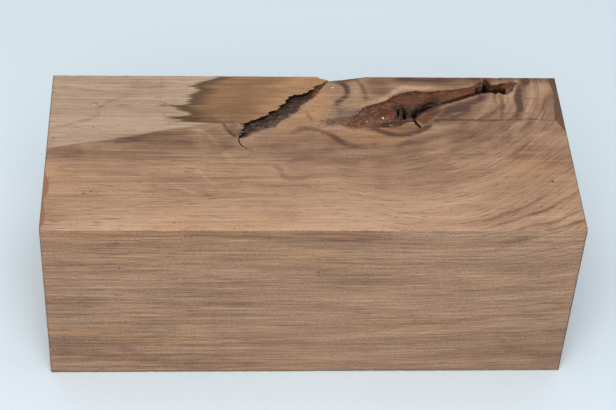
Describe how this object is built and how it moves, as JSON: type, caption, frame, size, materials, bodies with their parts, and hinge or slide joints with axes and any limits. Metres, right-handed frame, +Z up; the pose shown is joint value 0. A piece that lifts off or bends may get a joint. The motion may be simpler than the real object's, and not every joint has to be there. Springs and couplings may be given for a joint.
{
  "type": "walnut turning blank",
  "caption": "Sawn rectangular block of figured walnut for wood turning, with a natural cleft and a pocket of ingrown bark in its top face.",
  "frame": {"origin": "centre of the underside", "axes": "+X along the grain and the length, +Y to the back, +Z up; the cleft and the bark pocket are in the +Z face"},
  "size_m": [0.23, 0.1, 0.09],
  "materials": {
    "walnut": "rough sawn, unfinished, sealed at the ends"
  },
  "bodies": {
    "root": {"walnut_blank": "walnut"}
  },
  "joints": []
}
